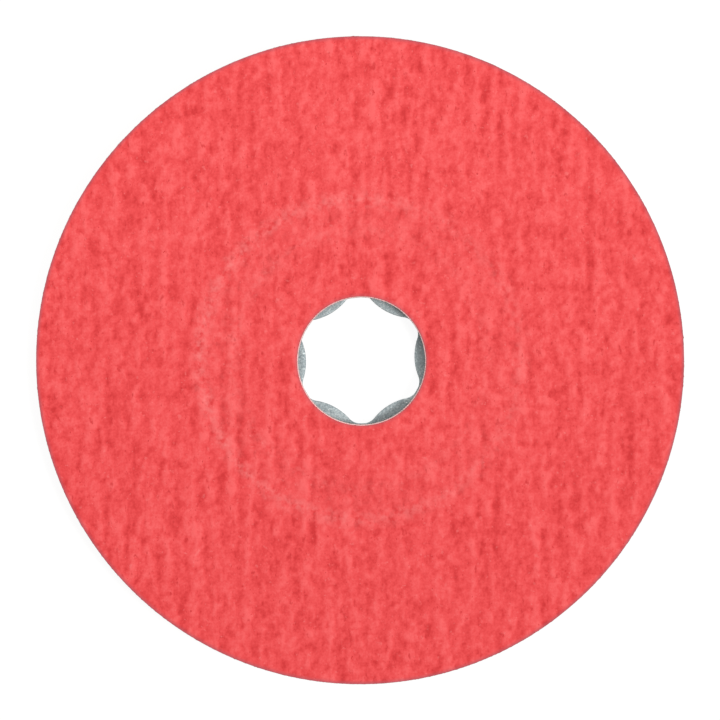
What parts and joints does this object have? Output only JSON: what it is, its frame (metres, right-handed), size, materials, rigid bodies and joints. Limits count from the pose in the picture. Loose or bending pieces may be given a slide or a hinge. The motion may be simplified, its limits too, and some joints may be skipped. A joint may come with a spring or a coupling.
{
  "type": "quick-mount fibre grinding disc",
  "caption": "Flat round abrasive fibre disc with a red grain face and a steel cup with a lobed opening on its back, for an angle grinder's quick-mount backing pad.",
  "frame": {"origin": "on the disc's axis, in the plane that the steel cup's floor rests on", "axes": "+Z along the disc's axis, from the steel cup towards the grain side; +X and +Y lie in the disc's plane"},
  "size_m": [0.115, 0.115, 0.005],
  "materials": {
    "vulcanised_fibre": "matte",
    "amber_resin": "satin",
    "abrasive_grain": "matte",
    "red_top_coat": "matte",
    "adhesive": "satin",
    "galvanised_steel": "satin"
  },
  "bodies": {
    "root": {"fibre_backing": "vulcanised_fibre", "make_coat": "amber_resin", "abrasive_grain": "abrasive_grain", "size_coat": "amber_resin", "top_coat": "red_top_coat", "bond_film": "adhesive", "mounting_plate": "galvanised_steel"}
  },
  "joints": []
}
